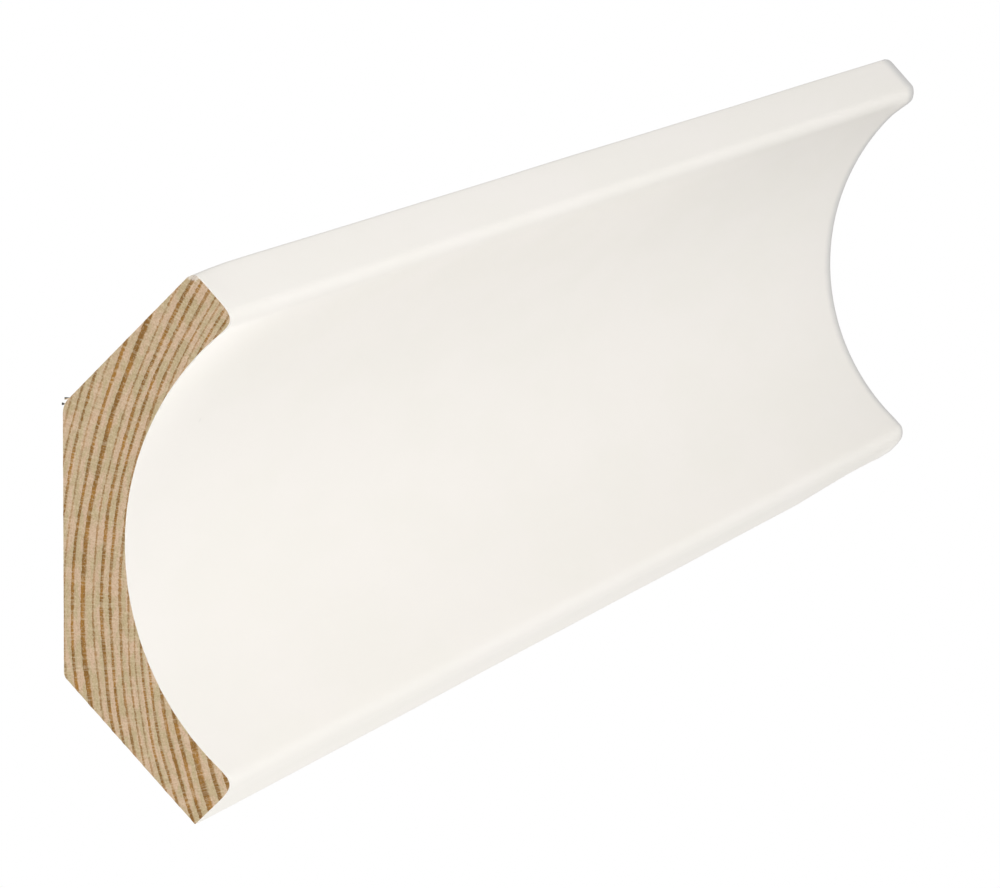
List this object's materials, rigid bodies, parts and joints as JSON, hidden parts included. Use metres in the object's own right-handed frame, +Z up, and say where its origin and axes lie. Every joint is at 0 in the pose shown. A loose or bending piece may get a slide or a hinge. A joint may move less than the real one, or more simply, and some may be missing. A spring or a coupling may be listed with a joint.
{
  "type": "cove moulding",
  "caption": "Short length of painted pine cove moulding, with a hollow face, square lips and a relieved back corner, for the joint of wall and ceiling.",
  "frame": {"origin": "middle of the flat face that goes against the wall", "axes": "+X along the moulding, +Y out of the back towards the wall, +Z up towards the ceiling; the sawn end is at -X"},
  "size_m": [0.241, 0.04, 0.0401],
  "materials": {
    "painted_pine": "satin off-white paint on the room side, bare sawn and planed pine on the cut end and the faces that are hidden when fixed"
  },
  "bodies": {
    "root": {"moulding": "painted_pine"}
  },
  "joints": []
}
